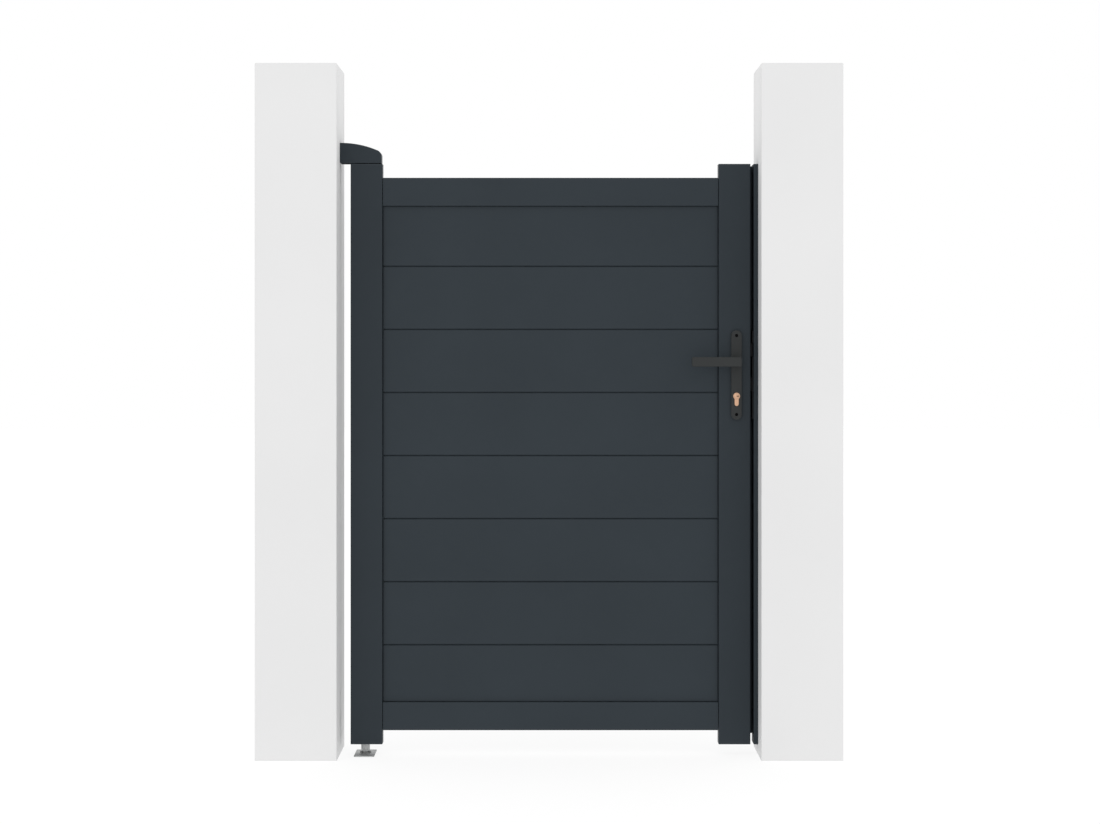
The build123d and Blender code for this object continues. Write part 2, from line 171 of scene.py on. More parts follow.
class GateFinishSettings(bpy.types.PropertyGroup):
    """Colours and gloss of the gate's surfaces"""

    coat_colour: bpy.props.FloatVectorProperty(
        name="Leaf coat",
        description="Powder coat of the leaf, the bracket and the stop",
        subtype="COLOR",
        size=3,
        min=0.0,
        max=1.0,
        default=(0.0285, 0.0370, 0.0445),
    )
    handle_colour: bpy.props.FloatVectorProperty(
        name="Handle coat",
        description="Coat of the levers and their plates",
        subtype="COLOR",
        size=3,
        min=0.0,
        max=1.0,
        default=(0.0322, 0.0345, 0.0350),
    )
    render_colour: bpy.props.FloatVectorProperty(
        name="Pillar render",
        description="Paint on the rendered pillars",
        subtype="COLOR",
        size=3,
        min=0.0,
        max=1.0,
        default=(0.784, 0.784, 0.785),
    )
    zinc_colour: bpy.props.FloatVectorProperty(
        name="Zinc",
        description="Galvanised steel of the pivots",
        subtype="COLOR",
        size=3,
        min=0.0,
        max=1.0,
        default=(0.420, 0.430, 0.430),
    )
    # Painted shade: the ring round the ground post is zinc, darkened to stand in for the shade at the post's foot
    collar_shaded_colour: bpy.props.FloatVectorProperty(
        name="Post collar",
        description="Darker zinc of the ring round the ground post",
        subtype="COLOR",
        size=3,
        min=0.0,
        max=1.0,
        default=(0.240, 0.242, 0.242),
    )
    brass_colour: bpy.props.FloatVectorProperty(
        name="Cylinder brass",
        description="Satin brass of the profile cylinder",
        subtype="COLOR",
        size=3,
        min=0.0,
        max=1.0,
        default=(0.595, 0.368, 0.245),
    )
    # Painted shade: besides the lock and the strike plate, this dark steel goes on the upper pivot pin to shade it
    # in its seam
    steel_and_pin_shade_colour: bpy.props.FloatVectorProperty(
        name="Lock steel",
        description="Blackened steel of the lock and its strike plate",
        subtype="COLOR",
        size=3,
        min=0.0,
        max=1.0,
        default=(0.014, 0.014, 0.015),
    )
    rubber_colour: bpy.props.FloatVectorProperty(
        name="Seal rubber",
        description="Rubber seal on the stop's lip",
        subtype="COLOR",
        size=3,
        min=0.0,
        max=1.0,
        default=(0.010, 0.010, 0.011),
    )
    # Also lines the keyways of the profile cylinder as painted shade
    screw_and_keyway_shade_colour: bpy.props.FloatVectorProperty(
        name="Black screws",
        description="Black oxide of the handle, lock and stop screws",
        subtype="COLOR",
        size=3,
        min=0.0,
        max=1.0,
        default=(0.006, 0.006, 0.007),
    )
    # Painted shade: the stiles, the bracket cover and the stop take a darker copy of the leaf coat that stands in
    # for shade
    stile_painted_shade: bpy.props.FloatProperty(
        name="Stile shade",
        description="Tone of the stiles, the bracket and the stop against the boards",
        min=0.5,
        max=1.5,
        default=0.92,
    )
    coat_roughness: bpy.props.FloatProperty(
        name="Coat roughness",
        description="Roughness of the powder coat",
        subtype="FACTOR",
        min=0.0,
        max=1.0,
        default=0.52,
    )
    handle_roughness: bpy.props.FloatProperty(
        name="Handle roughness",
        description="Roughness of the coat on the levers and their plates",
        subtype="FACTOR",
        min=0.0,
        max=1.0,
        default=0.42,
    )


class GateFixingSettings(bpy.types.PropertyGroup):
    """Sizes of the fixings and of the lock's small parts"""

    screw_radius: bpy.props.FloatProperty(
        name="Handle screw",
        description="Head radius of the screws in the handle plates",
        unit="LENGTH",
        default=3.8 * MM,
    )
    lock_screw_radius: bpy.props.FloatProperty(
        name="Lock screw",
        description="Head radius of the screws in the faceplate and the strike plate",
        unit="LENGTH",
        default=3.6 * MM,
    )
    stop_screw_radius: bpy.props.FloatProperty(
        name="Stop screw",
        description="Head radius of the screws that hold the stop to its pillar",
        unit="LENGTH",
        default=5.0 * MM,
    )
    stop_screw_count: bpy.props.IntProperty(
        name="Stop screws",
        description="How many screws hold the stop to its pillar",
        min=2,
        max=12,
        default=6,
    )
    head_height: bpy.props.FloatProperty(
        name="Head height",
        description="How far a low screw head stands out",
        unit="LENGTH",
        default=1.2 * MM,
    )
    plug_radius: bpy.props.FloatProperty(
        name="Cylinder plug",
        description="Radius of the plug that the key goes into",
        unit="LENGTH",
        default=6.4 * MM,
    )
    plug_gap: bpy.props.FloatProperty(
        name="Plug gap",
        description="Gap round the plug",
        unit="LENGTH",
        default=0.15 * MM,
    )
    plug_proud: bpy.props.FloatProperty(
        name="Plug stands out",
        description="How far the plug stands out of the cylinder's face",
        unit="LENGTH",
        default=0.3 * MM,
    )
    stem_width: bpy.props.FloatProperty(
        name="Cylinder stem",
        description="Width of the cylinder below its round head",
        unit="LENGTH",
        default=10.0 * MM,
    )
    keyway_width: bpy.props.FloatProperty(
        name="Keyway width",
        description="Width of the keyway, from the middle of the plug",
        unit="LENGTH",
        default=6.0 * MM,
    )
    keyway_height: bpy.props.FloatProperty(
        name="Keyway height",
        description="Height of the keyway",
        unit="LENGTH",
        default=1.8 * MM,
    )
    bore_depth: bpy.props.FloatProperty(
        name="Plug bore",
        description="Depth of the bore that holds the plug",
        unit="LENGTH",
        default=8.0 * MM,
    )
    seal_ribs: bpy.props.IntProperty(
        name="Seal ribs",
        description="Round ribs along the seal",
        min=2,
        max=8,
        default=3,
    )
    screw_sink: bpy.props.FloatProperty(
        name="Handle screw depth",
        description="How deep the handle screws sit below the plate's face",
        unit="LENGTH",
        default=6.0 * MM,
    )
    anchor_radius: bpy.props.FloatProperty(
        name="Anchor screw",
        description="Head radius of the screws in the ground plate",
        unit="LENGTH",
        default=ANCHOR_HOLES["dims"]["hole_r_mm"] * MM - ANCHOR_CLEARANCE,
    )
    anchor_spacing: bpy.props.FloatProperty(
        name="Anchor spacing",
        description="Distance between the screws in the ground plate",
        unit="LENGTH",
        default=ANCHOR_HOLES["dims"]["spacing_y_mm"] * MM,
    )
    neck_radius: bpy.props.FloatProperty(
        name="Lever neck",
        description="Inner radius of the rings round the lever necks",
        unit="LENGTH",
        default=9.2 * MM,
    )
    collar_width: bpy.props.FloatProperty(
        name="Neck collar",
        description="Width of the rings round the lever necks",
        unit="LENGTH",
        default=1.8 * MM,
    )
    cam_width: bpy.props.FloatProperty(
        name="Cam width",
        description="Width of the cam in the middle of the cylinder",
        unit="LENGTH",
        default=9.0 * MM,
    )
    cam_reach: bpy.props.FloatProperty(
        name="Cam reach",
        description="How far the cam stands out round the cylinder",
        unit="LENGTH",
        default=1.2 * MM,
    )


class GateStageSettings(bpy.types.PropertyGroup):
    """Camera, light and floor"""

    camera_place: bpy.props.FloatVectorProperty(
        name="Camera",
        description="Where the camera stands",
        subtype="TRANSLATION",
        size=3,
        default=(0.617, -5.400, 1.020),
    )
    lens: bpy.props.FloatProperty(
        name="Lens",
        description="Focal length on a sensor 36 mm wide, in millimetres",
        default=71.24,
    )
    shift_x: bpy.props.FloatProperty(
        name="Shift X",
        description="Sideways shift of the frame, in widths of the frame",
        default=0.0009,
    )
    shift_y: bpy.props.FloatProperty(
        name="Shift Y",
        description="Upward shift of the frame, in widths of the frame",
        default=-0.0636,
    )
    dome_strength: bpy.props.FloatProperty(
        name="Dome",
        description="Strength of the white surroundings as a light",
        min=0.0,
        default=1.0,
    )
    key_power: bpy.props.FloatProperty(
        name="Key light",
        description="Power of the large soft lamp in front",
        subtype="POWER",
        min=0.0,
        default=16.0,
    )
    key_width: bpy.props.FloatProperty(
        name="Lamp width",
        description="Width of the soft lamp",
        unit="LENGTH",
        default=4.0,
    )
    key_height: bpy.props.FloatProperty(
        name="Lamp height",
        description="Height of the soft lamp",
        unit="LENGTH",
        default=2.5,
    )
    key_place: bpy.props.FloatVectorProperty(
        name="Lamp",
        description="Where the soft lamp stands, from the middle of the gate",
        subtype="TRANSLATION",
        size=3,
        default=(-1.5, -7.0, 1.2),
    )
    floor_colour: bpy.props.FloatVectorProperty(
        name="Floor",
        description="Paint of the studio floor",
        subtype="COLOR",
        size=3,
        min=0.0,
        max=1.0,
        default=(0.90, 0.90, 0.90),
    )
    floor_glow: bpy.props.FloatProperty(
        name="Floor glow",
        description="Strength of the floor's even white",
        min=0.0,
        default=1.07,
    )
    floor_shadow: bpy.props.FloatProperty(
        name="Floor shadow",
        description="Share of the floor's own shading; the rest is an even white",
        subtype="FACTOR",
        min=0.0,
        max=1.0,
        default=0.22,
    )


# Node helpers


class Recipe:
    """Node tree of one finish, with its shader and its Object coordinates."""

    def __init__(self, name):
        self.material = bpy.data.materials.new(name)
        self.material.use_nodes = True
        self.tree = self.material.node_tree
        self.shader = self.tree.nodes["Principled BSDF"]
        self.place = self.add("ShaderNodeTexCoord").outputs["Object"]

    def add(self, kind):
        return self.tree.nodes.new(kind)

    def link(self, source, target):
        self.tree.links.new(source, target)

    def set(self, **values):
        """Plain values on the shader's own sockets."""
        for key, value in values.items():
            self.shader.inputs[key.replace("_", " ")].default_value = value

    def stretched(self, scale):
        """Object coordinates with a scale for each axis."""
        mapping = self.add("ShaderNodeMapping")
        mapping.inputs["Scale"].default_value = scale
        self.link(self.place, mapping.inputs["Vector"])
        return mapping.outputs["Vector"]

    def noise(self, scale, detail=2.0, vector=None):
        """Soft cloudy pattern."""
        node = self.add("ShaderNodeTexNoise")
        node.inputs["Scale"].default_value = scale
        node.inputs["Detail"].default_value = detail
        self.link(vector or self.place, node.inputs["Vector"])
        return node.outputs["Fac"]

    def cells(self, scale):
        """Node of a cell pattern, with the cells' colours and distances."""
        node = self.add("ShaderNodeTexVoronoi")
        node.inputs["Scale"].default_value = scale
        self.link(self.place, node.inputs["Vector"])
        return node

    def between(self, value, low, high):
        """Value spread over a range of numbers."""
        node = self.add("ShaderNodeMapRange")
        start, end = PATTERN_RANGE
        limits = {"From Min": start, "From Max": end, "To Min": low, "To Max": high}
        for key, number in limits.items():
            node.inputs[key].default_value = number
        self.link(value, node.inputs["Value"])
        return node.outputs["Result"]

    def tint(self, value, dark, light):
        """Value spread over a range of colours."""
        node = self.add("ShaderNodeValToRGB")
        first, last = node.color_ramp.elements
        first.position, last.position = PATTERN_RANGE
        first.color = (*dark, 1.0)
        last.color = (*light, 1.0)
        self.link(value, node.inputs["Fac"])
        return node.outputs["Color"]

    def colour(self, output):
        self.link(output, self.shader.inputs["Base Color"])

    def roughness(self, output):
        self.link(output, self.shader.inputs["Roughness"])

    def bump(self, height, strength, distance, below=None):
        """Relief of a pattern on the shader, laid over the one below it."""
        node = self.add("ShaderNodeBump")
        node.inputs["Strength"].default_value = strength
        node.inputs["Distance"].default_value = distance
        self.link(height, node.inputs["Height"])
        if below:
            self.link(below, node.inputs["Normal"])
        self.link(node.outputs["Normal"], self.shader.inputs["Normal"])
        return node.outputs["Normal"]


def shade(colour, factor):
    """Colour made darker or lighter."""
    return tuple(min(1.0, part * factor) for part in colour)


# Finishes


def powder_coat(name, colour, roughness, grain):
    """Matt coat: a faint cloud in the colour and a fine orange-peel texture."""
    recipe = Recipe(name)
    recipe.colour(recipe.tint(recipe.noise(3.5, detail=3.0), shade(colour, 0.95), shade(colour, 1.05)))
    recipe.roughness(recipe.between(recipe.noise(45.0, detail=4.0), roughness - 0.04, roughness + 0.04))
    peel = recipe.bump(recipe.noise(260.0, detail=1.0), strength=0.05, distance=0.4 * MM)
    recipe.bump(recipe.noise(grain), strength=0.12, distance=0.15 * MM, below=peel)
    recipe.set(Specular_IOR_Level=0.14)
    return recipe.material


def smooth_render(name, colour):
    """Painted fine render: soft clouds, sand grains and shallow trowel waves."""
    recipe = Recipe(name)
    cloud = recipe.noise(2.2, detail=5.0)
    recipe.colour(recipe.tint(cloud, shade(colour, 0.985), shade(colour, 1.012)))
    recipe.roughness(recipe.between(recipe.noise(90.0, detail=3.0), 0.82, 0.94))
    waves = recipe.bump(recipe.noise(7.0), strength=0.10, distance=1.5 * MM)
    recipe.bump(recipe.noise(420.0, detail=6.0), strength=0.22, distance=0.35 * MM, below=waves)
    recipe.set(Specular_IOR_Level=0.15)
    return recipe.material


def zinc_steel(name, colour):
    """Hot-dip zinc: crystal spangle with dull patches."""
    recipe = Recipe(name)
    spangle = recipe.cells(260.0)
    grey = recipe.add("ShaderNodeRGBToBW")
    recipe.link(spangle.outputs["Color"], grey.inputs["Color"])
    recipe.colour(recipe.tint(grey.outputs["Val"], shade(colour, 0.88), shade(colour, 1.12)))
    recipe.roughness(recipe.between(recipe.noise(70.0, detail=4.0), 0.38, 0.58))
    recipe.bump(recipe.noise(900.0, detail=3.0), strength=0.08, distance=0.1 * MM)
    recipe.set(Metallic=0.85)
    return recipe.material


def satin_brass(name, colour):
    """Turned brass: fine lines and a slight change of tone."""
    recipe = Recipe(name)
    lines = recipe.noise(60.0, detail=5.0, vector=recipe.stretched((1.0, 8.0, 40.0)))
    recipe.colour(recipe.tint(lines, shade(colour, 0.92), shade(colour, 1.06)))
    recipe.roughness(recipe.between(lines, 0.26, 0.36))
    recipe.bump(lines, strength=0.06, distance=0.05 * MM)
    recipe.set(Metallic=1.0)
    return recipe.material


def dark_steel(name, colour):
    """Blackened steel: brushed along its length, a little mottled."""
    recipe = Recipe(name)
    brushed = recipe.noise(120.0, detail=4.0, vector=recipe.stretched((10.0, 10.0, 0.6)))
    recipe.colour(recipe.tint(brushed, shade(colour, 0.85), shade(colour, 1.15)))
    recipe.roughness(recipe.between(recipe.noise(80.0, detail=3.0), 0.34, 0.48))
    recipe.bump(brushed, strength=0.06, distance=0.06 * MM)
    recipe.set(Metallic=0.8, Specular_IOR_Level=0.1)
    return recipe.material


def moulded_plastic(name, colour):
    """Matt moulded plastic with a fine spark-eroded grain."""
    recipe = Recipe(name)
    recipe.colour(recipe.tint(recipe.noise(12.0), shade(colour, 0.95), shade(colour, 1.05)))
    recipe.roughness(recipe.between(recipe.noise(150.0, detail=3.0), 0.55, 0.66))
    recipe.bump(recipe.cells(1500.0).outputs["Distance"], strength=0.10, distance=0.08 * MM)
    recipe.set(Specular_IOR_Level=0.22)
    return recipe.material


def seal_rubber(name, colour):
    """Dull black rubber with a light bloom."""
    recipe = Recipe(name)
    recipe.colour(recipe.tint(recipe.noise(30.0, detail=4.0), shade(colour, 0.8), shade(colour, 1.5)))
    recipe.roughness(recipe.between(recipe.noise(120.0, detail=3.0), 0.68, 0.82))
    recipe.bump(recipe.noise(1200.0), strength=0.10, distance=0.05 * MM)
    recipe.set(Specular_IOR_Level=0.2)
    return recipe.material


def finish(name):
    """Material of a finish, made once from the settings."""
    if name in bpy.data.materials:
        return bpy.data.materials[name]
    looks = bpy.context.scene.gate_finishes
    makers = {
        "leaf coat": lambda: powder_coat(name, looks.coat_colour, looks.coat_roughness, COAT_GRAIN),
        # painted shade: the leaf coat darkened by the stile factor
        "stile coat painted shade": lambda: powder_coat(
            name, shade(looks.coat_colour, looks.stile_painted_shade), looks.coat_roughness, COAT_GRAIN
        ),
        "handle coat": lambda: powder_coat(
            name, looks.handle_colour, looks.handle_roughness, HANDLE_GRAIN
        ),
        "pillar render": lambda: smooth_render(name, looks.render_colour),
        "zinc": lambda: zinc_steel(name, looks.zinc_colour),
        # painted shade: zinc darkened for the ring at the post's foot
        "collar zinc painted shade": lambda: zinc_steel(name, looks.collar_shaded_colour),
        "cylinder brass": lambda: satin_brass(name, looks.brass_colour),
        # also the painted shade lining the cylinder's keyways
        "black screws and keyway shade": lambda: dark_steel(name, looks.screw_and_keyway_shade_colour),
        # painted shade: also put on the upper pivot pin
        "lock steel and pin shade": lambda: dark_steel(name, looks.steel_and_pin_shade_colour),
        "end plastic": lambda: moulded_plastic(name, looks.coat_colour),
        "seal rubber": lambda: seal_rubber(name, looks.rubber_colour),
    }
    return makers[name]()


def coat_nodes(names, finish_name):
    """One finish on several nodes."""
    material = finish(finish_name)
    for name in names:
        node = frame["nodes"][name]
        node.data.materials.clear()
        node.data.materials.append(material)


# Mesh helpers


def add_piece(name, mesh, finish_names, body):
    """Object made from a finished bmesh, riding on a body of the frame."""
    bmesh.ops.remove_doubles(mesh, verts=mesh.verts[:], dist=WELD_DISTANCE)
    bmesh.ops.recalc_face_normals(mesh, faces=mesh.faces[:])
    if not all(edge.is_manifold for edge in mesh.edges):
        raise RuntimeError(f"{name} is not closed")
    for face in mesh.faces:
        face.smooth = True
    for edge in mesh.edges:
        edge.smooth = edge.calc_face_angle(math.pi) < SMOOTH_ANGLE
    data = bpy.data.meshes.new(name)
    mesh.to_mesh(data)
    mesh.free()
    for finish_name in finish_names:
        data.materials.append(finish(finish_name))
    piece = bpy.data.objects.new(name, data)
    bpy.context.scene.collection.objects.link(piece)
    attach(piece, body)
    return piece


def aim(where, direction):
    """Transform that carries the Z axis to a direction and the origin to a place."""
    turn = Vector((0, 0, 1)).rotation_difference(Vector(direction))
    return Matrix.Translation(where) @ turn.to_matrix().to_4x4()


def loop_edges(verts):
    """Edges with both ends among some vertices."""
    chosen = set(verts)
    touching = dict.fromkeys(edge for vert in verts for edge in vert.link_edges)
    return [edge for edge in touching if set(edge.verts) <= chosen]


def verts_of(geometry):
    """Vertices among the parts that an operator gives back."""
    return [part for part in geometry if isinstance(part, bmesh.types.BMVert)]


def go_to(mesh, tip, place):
    """Straight edge from a vertex to a place."""
    made = bmesh.ops.extrude_vert_indiv(mesh, verts=[tip])["verts"][0]
    made.co = place
    return made


def swing_round(mesh, tip, centre, angle, steps):
    """Arc of edges from a vertex, about a centre in the plane of X and Y."""
    swept = bmesh.ops.spin(mesh, geom=[tip], cent=centre, axis=(0, 0, 1), angle=angle, steps=steps)
    return verts_of(swept["geom_last"])[0]


def close_outline(mesh, first, last):
    """Edges of an outline, closed from its last vertex to its first."""
    bmesh.ops.contextual_create(mesh, geom=[first, last])
    outline, tip = [first], last
    while tip is not first:
        outline.append(tip)
        tip = next(e.other_vert(tip) for e in tip.link_edges if e.other_vert(tip) not in outline[1:])
    return loop_edges(outline)


def draw_out(mesh, edges, length):
    """Walls drawn out along Z from an outline, and the outline at their far end."""
    made = bmesh.ops.extrude_edge_only(mesh, edges=edges)["geom"]
    far = verts_of(made)
    bmesh.ops.translate(mesh, verts=far, vec=(0, 0, length))
    return loop_edges(far)


def soften(mesh, edges, width):
    """Edges rounded in three steps."""
    bmesh.ops.bevel(
        mesh,
        geom=edges,
        offset=width,
        offset_type="OFFSET",
        segments=3,
        profile=0.5,
        affect="EDGES",
        material=-1,
    )


class Recess(NamedTuple):
    """Hollow in the top of a head: its polygon and depth, and the number of its material."""

    sides: int
    reach: tuple
    depth: float
    turn: float = 0.0
    shift: tuple = (0.0, 0.0)
    # Material number of the recess faces; the cylinder's keyway uses it for a black lining of painted shade
    shade_lining: int = 0


def recessed_head(mesh, place, radius, height, edge, recess):
    """Round head with an eased rim and a recess in its top."""
    before = set(mesh.verts)
    made = bmesh.ops.create_circle(mesh, cap_ends=True, segments=HEAD_STEPS, radius=radius)
    rim = draw_out(mesh, loop_edges(made["verts"]), height)
    start = Matrix.Translation((*recess.shift, height)) @ Matrix.Diagonal((*recess.reach, 1.0, 1.0))
    start = start @ Matrix.Rotation(recess.turn, 4, "Z")
    made = bmesh.ops.create_circle(mesh, segments=recess.sides, radius=1.0, matrix=start)
    inner = loop_edges(made["verts"])
    bmesh.ops.triangle_fill(mesh, use_beauty=True, edges=rim + inner)
    deep = draw_out(mesh, inner, -recess.depth)
    bmesh.ops.contextual_create(mesh, geom=deep)
    for face in {face for side in deep for face in side.link_faces}:
        face.material_index = recess.shade_lining
    soften(mesh, rim, edge)
    added = [v for v in mesh.verts if v not in before]
    bmesh.ops.transform(mesh, matrix=place, verts=added)


def hexagon_screw(mesh, where, direction, radius, height):
    """Low screw head with a hexagon socket."""
    reach = SOCKET_SHARE * radius
    socket = Recess(sides=6, reach=(reach, reach), depth=SOCKET_DEPTH_SHARE * height)
    recessed_head(mesh, aim(where, direction), radius, height, HEAD_EDGE_SHARE * height, socket)


def turned_ring(mesh, place, inner, outer, height, edge):
    """Ring with an eased outer rim, turned about the Z axis of its place."""
    before = set(mesh.verts)
    first = mesh.verts.new((inner, 0, 0))
    tip = first
    for x, z in ((outer, 0), (outer, height - edge), (outer - edge, height), (inner, height)):
        tip = go_to(mesh, tip, (x, 0, z))
    section = close_outline(mesh, first, tip)
    swept = section + list(dict.fromkeys(v for e in section for v in e.verts))
    bmesh.ops.spin(
        mesh,
        geom=swept,
        cent=(0, 0, 0),
        axis=(0, 0, 1),
        angle=math.tau,
        steps=RING_STEPS,
        use_merge=True,
    )
    added = [v for v in mesh.verts if v not in before]
    bmesh.ops.transform(mesh, matrix=place, verts=added)


# Profile cylinder


def cylinder_case(mesh, sizes, radius, reach_down, half):
    """Case along Z with a round head, a stem below it and a bore at both ends."""
    half_stem = sizes.stem_width / 2
    drop = reach_down - half_stem
    waist = math.asin(half_stem / radius)
    first = mesh.verts.new((half_stem, -radius * math.cos(waist), -half))
    tip = swing_round(mesh, first, (0, 0, -half), math.tau - 2 * waist, CYLINDER_STEPS)
    tip = go_to(mesh, tip, (-half_stem, -drop, -half))
    tip = swing_round(mesh, tip, (0, -drop, -half), math.pi, STEM_STEPS)
    near = close_outline(mesh, first, tip)
    far = draw_out(mesh, near, 2 * half)
    for outline, side in ((near, -1), (far, 1)):
        bore = bmesh.ops.create_circle(
            mesh,
            segments=CYLINDER_STEPS,
            radius=sizes.plug_radius + sizes.plug_gap,
            matrix=Matrix.Translation((0, 0, side * half)),
        )
        rim = loop_edges(bore["verts"])
        bmesh.ops.triangle_fill(mesh, use_beauty=True, edges=outline + rim)
        deep = draw_out(mesh, rim, -side * sizes.bore_depth)
        bmesh.ops.contextual_create(mesh, geom=deep)
    soften(mesh, near + far, CYLINDER_EDGE)


def cylinder_plugs(mesh, sizes, centre, half):
    """Plug with a level keyway in both ends of the case."""
    length = sizes.bore_depth + sizes.plug_proud
    keyway = Recess(
        sides=4,
        reach=(sizes.keyway_width / math.sqrt(2), sizes.keyway_height / math.sqrt(2)),
        depth=KEYWAY_SHARE * length,
        turn=math.pi / 4,
        shift=(sizes.keyway_width / 2, 0.0),
        # painted shade: the keyway's faces take the black screw finish
        shade_lining=1,
    )
    for side in (-1, 1):
        seat = centre + Vector((0, side * (half - sizes.bore_depth), 0))
        recessed_head(mesh, aim(seat, (0, side, 0)), sizes.plug_radius, length, PLUG_EDGE, keyway)


# Stage


def seen_directly(tree):
    """Output that is 1 for rays from the camera, from gloss and through glass."""
    path = tree.nodes.new("ShaderNodeLightPath")
    total = path.outputs["Is Camera Ray"]
    for name in ("Is Glossy Ray", "Is Transmission Ray"):
        either = tree.nodes.new("ShaderNodeMath")
        either.operation = "MAXIMUM"
        tree.links.new(total, either.inputs[0])
        tree.links.new(path.outputs[name], either.inputs[1])
        total = either.outputs["Value"]
    return total


def make_floor(stage):
    """White floor that keeps a faint shadow of the gate."""
    mesh = bmesh.new()
    place = Matrix.Translation((cad_middle.x, cad_middle.y, cad_low.z - FLOOR_DROP))
    bmesh.ops.create_grid(mesh, x_segments=1, y_segments=1, size=FLOOR_REACH, matrix=place)
    data = bpy.data.meshes.new("studio_floor")
    mesh.to_mesh(data)
    mesh.free()
    material = bpy.data.materials.new("studio white")
    material.use_nodes = True
    tree = material.node_tree
    shader = tree.nodes["Principled BSDF"]
    shader.inputs["Base Color"].default_value = (*stage.floor_colour, 1.0)
    shader.inputs["Roughness"].default_value = 1.0
    shader.inputs["Specular IOR Level"].default_value = 0.0
    glow = tree.nodes.new("ShaderNodeEmission")
    glow.inputs["Strength"].default_value = stage.floor_glow
    mix = tree.nodes.new("ShaderNodeMixShader")
    mix.inputs["Fac"].default_value = 1.0 - stage.floor_shadow
    tree.links.new(shader.outputs["BSDF"], mix.inputs[1])
    tree.links.new(glow.outputs["Emission"], mix.inputs[2])
    tree.links.new(mix.outputs["Shader"], tree.nodes["Material Output"].inputs["Surface"])
    data.materials.append(material)
    floor = bpy.data.objects.new("studio_floor", data)
    bpy.context.scene.collection.objects.link(floor)


def make_surroundings(stage):
    """White world: a light of its own strength that looks plain white."""
    world = bpy.data.worlds.new("studio surroundings")
    world.use_nodes = True
    tree = world.node_tree
    light = tree.nodes["Background"]
    light.inputs["Color"].default_value = (1.0, 1.0, 1.0, 1.0)
    light.inputs["Strength"].default_value = stage.dome_strength
    white = tree.nodes.new("ShaderNodeBackground")
    white.inputs["Color"].default_value = (1.0, 1.0, 1.0, 1.0)
    white.inputs["Strength"].default_value = 1.0
    mix = tree.nodes.new("ShaderNodeMixShader")
    tree.links.new(seen_directly(tree), mix.inputs["Fac"])
    tree.links.new(light.outputs["Background"], mix.inputs[1])
    tree.links.new(white.outputs["Background"], mix.inputs[2])
    tree.links.new(mix.outputs["Shader"], tree.nodes["World Output"].inputs["Surface"])
    bpy.context.scene.world = world


def make_lamp(stage):
    """One large soft lamp behind the camera, higher and to its left."""
    data = bpy.data.lights.new("key lamp", "AREA")
    data.shape = "RECTANGLE"
    data.size = stage.key_width
    data.size_y = stage.key_height
    data.energy = stage.key_power
    lamp = bpy.data.objects.new("key lamp", data)
    lamp.location = cad_middle + Vector(stage.key_place)
    lamp.rotation_euler = (cad_middle - lamp.location).to_track_quat("-Z", "Y").to_euler()
    bpy.context.scene.collection.objects.link(lamp)


def make_camera(stage):
    """Level camera in front of the gate."""
    data = bpy.data.cameras.new("camera")
    data.sensor_width = SENSOR_WIDTH
    data.lens = stage.lens
    data.shift_x = stage.shift_x
    data.shift_y = stage.shift_y
    camera = bpy.data.objects.new("camera", data)
    camera.location = stage.camera_place
    camera.rotation_euler = (math.pi / 2, 0.0, 0.0)
    bpy.context.scene.collection.objects.link(camera)
    bpy.context.scene.camera = camera


# Operators


class GATE_OT_finishes(bpy.types.Operator):
    """Gives every node of the gate its finish"""

    bl_idname = "gate.finishes"
    bl_label = "Finishes"

    def execute(self, context):
        coat_nodes(PILLARS, "pillar render")
        coat_nodes(PANEL, "leaf coat")
        # painted shade: the stiles, bracket cover and stop get the darkened copy of the leaf coat
        coat_nodes(STILES, "stile coat painted shade")
        coat_nodes(END_PIECES, "end plastic")
        coat_nodes(GALVANISED, "zinc")
        # painted shade: the ring's zinc is darkened for the shade at the post's foot
        coat_nodes(("ground_pivot_collar",), "collar zinc painted shade")
        # painted shade: the upper pivot pin among these takes the dark lock steel for the shade in its seam
        coat_nodes(LOCK_STEEL_AND_SHADED_PIN, "lock steel and pin shade")
        coat_nodes(HANDLES, "handle coat")
        coat_nodes(("lock_cylinder",), "cylinder brass")
        coat_nodes(("stop_seal",), "seal rubber")
        return {"FINISHED"}


class GATE_OT_cylinder(bpy.types.Operator):
    """Profile cylinder with its plug and keyway at both ends"""

    bl_idname = "gate.cylinder"
    bl_label = "Profile cylinder"

    def execute(self, context):
        sizes = context.scene.gate_fixings
        low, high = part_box("lock_cylinder")
        radius = (high.x - low.x) / 2
        centre = Vector(((low.x + high.x) / 2, 0.0, high.z - radius))
        half = (high.y - low.y) / 2 - sizes.plug_proud
        mesh = bmesh.new()
        cylinder_case(mesh, sizes, radius, centre.z - low.z, half)
        bmesh.ops.transform(mesh, matrix=aim(centre, (0, -1, 0)), verts=mesh.verts[:])
        cylinder_plugs(mesh, sizes, centre, half)
        cam = aim(centre - Vector((0, sizes.cam_width / 2, 0)), (0, 1, 0))
        inner, outer = radius - CAM_OVERLAP, radius + sizes.cam_reach
        turned_ring(mesh, cam, inner, outer, sizes.cam_width, RING_EDGE)
        # the second finish is painted shade lining the keyways
        brass_and_keyway_shade = ("cylinder brass", "black screws and keyway shade")
        piece = add_piece("profile_cylinder", mesh, brass_and_keyway_shade, "leaf")
        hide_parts("lock_cylinder")
        return {"FINISHED"}


